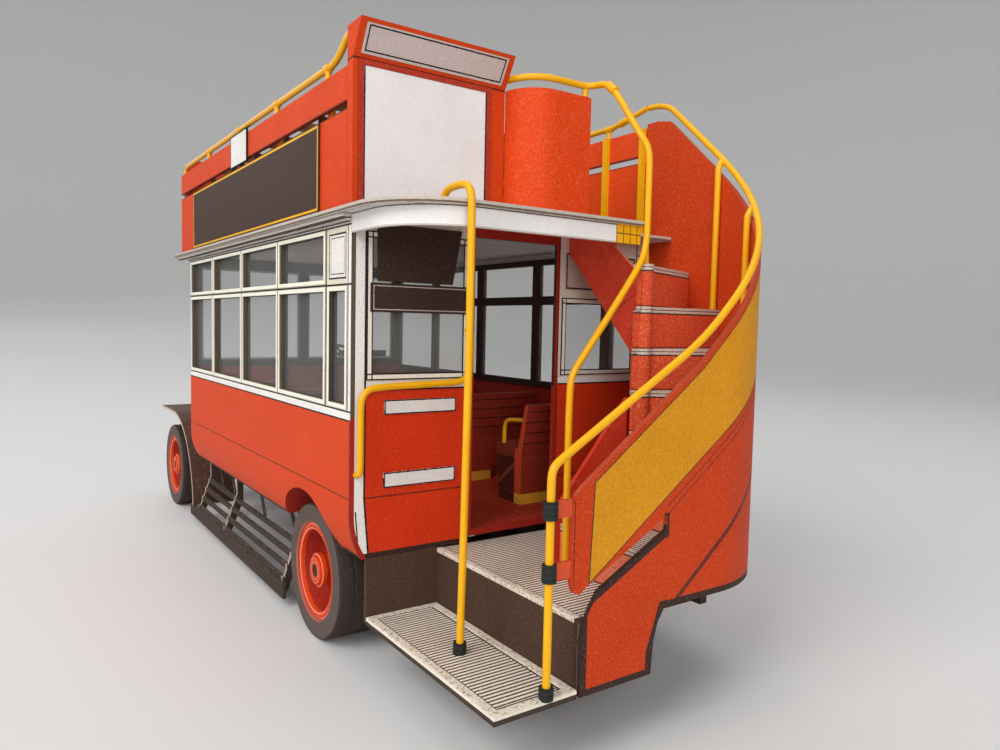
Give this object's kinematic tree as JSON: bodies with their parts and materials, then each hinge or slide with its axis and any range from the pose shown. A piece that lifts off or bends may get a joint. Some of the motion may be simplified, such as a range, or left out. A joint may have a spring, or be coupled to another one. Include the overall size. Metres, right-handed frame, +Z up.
{
  "type": "card model of an open-top double decker bus",
  "caption": "Card model of an open-top double deck bus with open rear platform, curved outside stairs, slatted side guards and rolling disc wheels.",
  "frame": {"origin": "on the ground under the middle of the model's outer box", "axes": "+X towards the front of the bus, +Y towards its nearside (left), +Z up"},
  "size_m": [0.21, 0.0724, 0.1104],
  "materials": {
    "black_tape": "satin",
    "card_brown": "matte printed card",
    "card_cream": "matte printed card",
    "card_dark_red": "matte printed card",
    "card_grey": "matte printed card",
    "card_ochre": "matte printed card",
    "card_red": "matte printed card",
    "card_white": "matte printed card",
    "clear_film": "clear",
    "lamp_card": "matte printed card",
    "tyre_card": "matte printed card",
    "wheel_red": "matte printed card",
    "yellow_wire": "satin enamel"
  },
  "bodies": {
    "bus": {"chassis_frame": "card_brown", "front_axle": "card_brown", "rear_axle": "card_brown", "leaf_springs": "card_brown", "saloon_floor": "card_dark_red", "wheel_boxes": "card_dark_red", "nearside_side": "card_red", "offside_side": "card_red", "rear_bulkhead": "card_red", "front_bulkhead": "card_red", "saloon_glazing": "clear_film", "saloon_seats": "card_ochre", "seat_handles": "yellow_wire", "upper_deck_floor": "card_grey", "rear_fascia": "card_white", "deck_side_nearside": "card_red", "deck_side_offside": "card_red", "deck_front_panel": "card_red", "deck_rear_panel": "card_red", "destination_box": "card_red", "side_boards": "card_brown", "deck_seats": "card_ochre", "deck_rail_nearside": "yellow_wire", "deck_rail_offside": "yellow_wire", "platform": "card_cream", "entry_step": "card_cream", "platform_valance": "card_brown", "stair_treads": "card_cream", "stair_inner_stringer": "card_red", "stair_outer_panel": "card_red", "stair_outer_rail": "yellow_wire", "stair_inner_rail": "yellow_wire", "platform_pole": "yellow_wire", "bulkhead_grab_rail": "yellow_wire", "pole_fittings": "black_tape", "rear_plates": "card_brown", "side_guards": "card_brown", "front_mudguards": "card_brown", "bonnet": "card_dark_red", "radiator": "card_grey", "starting_handle": "card_brown", "driver_cab": "card_dark_red", "driver_seat": "card_brown", "steering_wheel": "card_brown", "headlamps": "lamp_card"},
    "front_left_roadwheel": {"front_left_tyre": "tyre_card", "front_left_wheel": "wheel_red"},
    "front_right_roadwheel": {"front_right_tyre": "tyre_card", "front_right_wheel": "wheel_red"},
    "rear_left_roadwheel": {"rear_left_tyre": "tyre_card", "rear_left_wheel": "wheel_red"},
    "rear_right_roadwheel": {"rear_right_tyre": "tyre_card", "rear_right_wheel": "wheel_red"}
  },
  "joints": [
    {"name": "front_left_roll", "type": "hinge", "parent": "bus", "child": "front_left_roadwheel", "pos_m": [0.08505, 0.0288, 0.0132], "axis": [0, 1, 0], "continuous": true},
    {"name": "front_right_roll", "type": "hinge", "parent": "bus", "child": "front_right_roadwheel", "pos_m": [0.08505, -0.0288, 0.0132], "axis": [0, 1, 0], "continuous": true},
    {"name": "rear_left_roll", "type": "hinge", "parent": "bus", "child": "rear_left_roadwheel", "pos_m": [-0.04235, 0.0267, 0.0132], "axis": [0, 1, 0], "continuous": true},
    {"name": "rear_right_roll", "type": "hinge", "parent": "bus", "child": "rear_right_roadwheel", "pos_m": [-0.04235, -0.0267, 0.0132], "axis": [0, 1, 0], "continuous": true}
  ]
}
